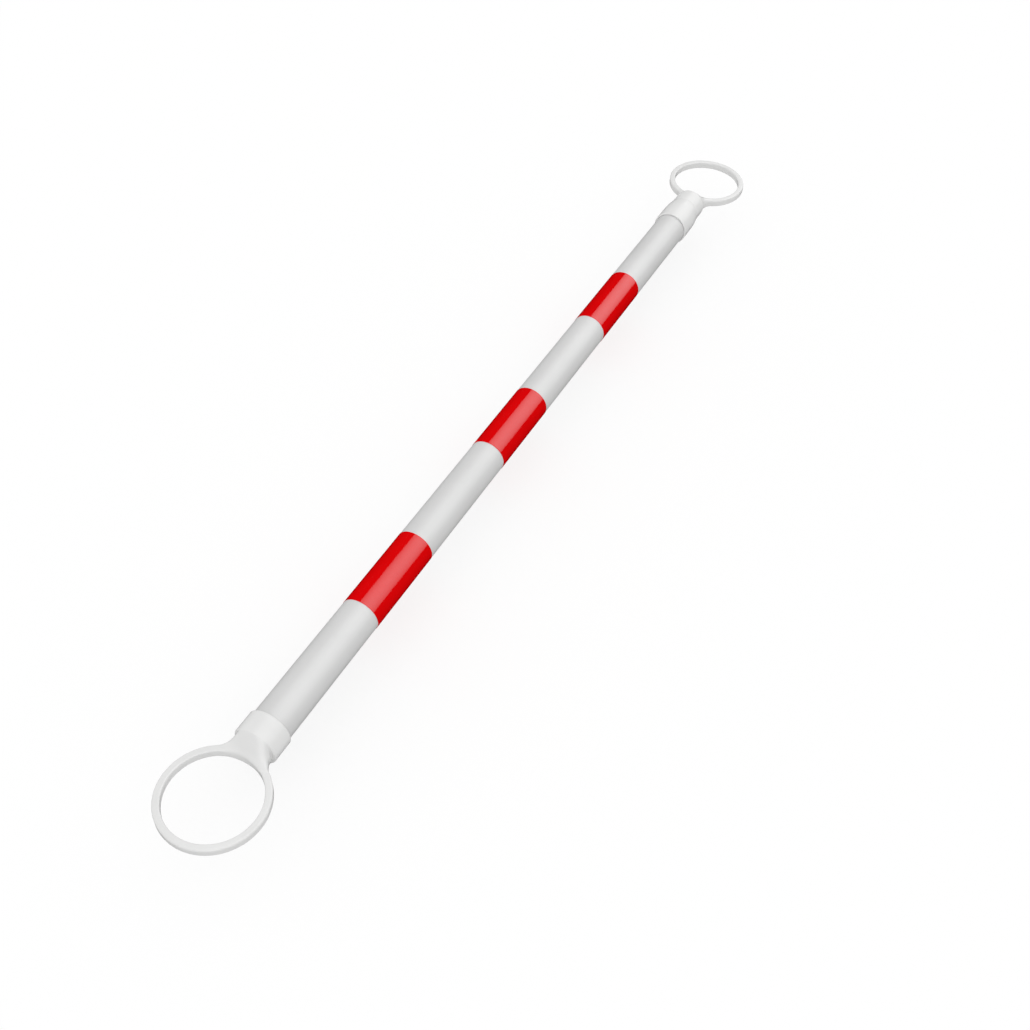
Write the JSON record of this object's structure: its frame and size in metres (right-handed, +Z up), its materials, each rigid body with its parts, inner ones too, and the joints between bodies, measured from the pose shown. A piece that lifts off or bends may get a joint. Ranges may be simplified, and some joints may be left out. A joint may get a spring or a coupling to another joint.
{
  "type": "retractable cone bar",
  "caption": "Red and white striped telescopic bar with a flat ring at each end that drops over the tip of a road cone to make a barrier.",
  "frame": {"origin": "middle of the closed bar, on the axis of its tubes", "axes": "+Y along the bar towards the ring that pulls out, +Z up through the ring holes, +X across the bar in the plane of the rings"},
  "size_m": [0.1016, 1.2016, 0.0444],
  "materials": {
    "tube": "matt extruded white plastic",
    "moulding": "satin moulded white plastic",
    "red_film": "glossy red reflective film",
    "plug": "grey moulded nylon",
    "slide_ring": "natural acetal"
  },
  "bodies": {
    "outer": {"outer_tube": "tube", "near_ring_cap": "moulding", "guide_bush": "moulding", "red_band_1": "red_film", "red_band_2": "red_film", "red_band_3": "red_film"},
    "slider": {"slide_ring": "slide_ring"},
    "inner": {"inner_tube": "tube", "far_ring_cap": "moulding", "stop_plug": "plug", "inner_band_1": "red_film", "inner_band_2": "red_film", "inner_band_3": "red_film"}
  },
  "joints": [
    {"name": "extend", "type": "slide", "parent": "outer", "child": "slider", "axis": [0, 1, 0], "range_m": [0, 0.89]},
    {"name": "swivel", "type": "hinge", "parent": "slider", "child": "inner", "pos_m": [0, 0, 0], "axis": [0, 1, 0], "continuous": true}
  ]
}
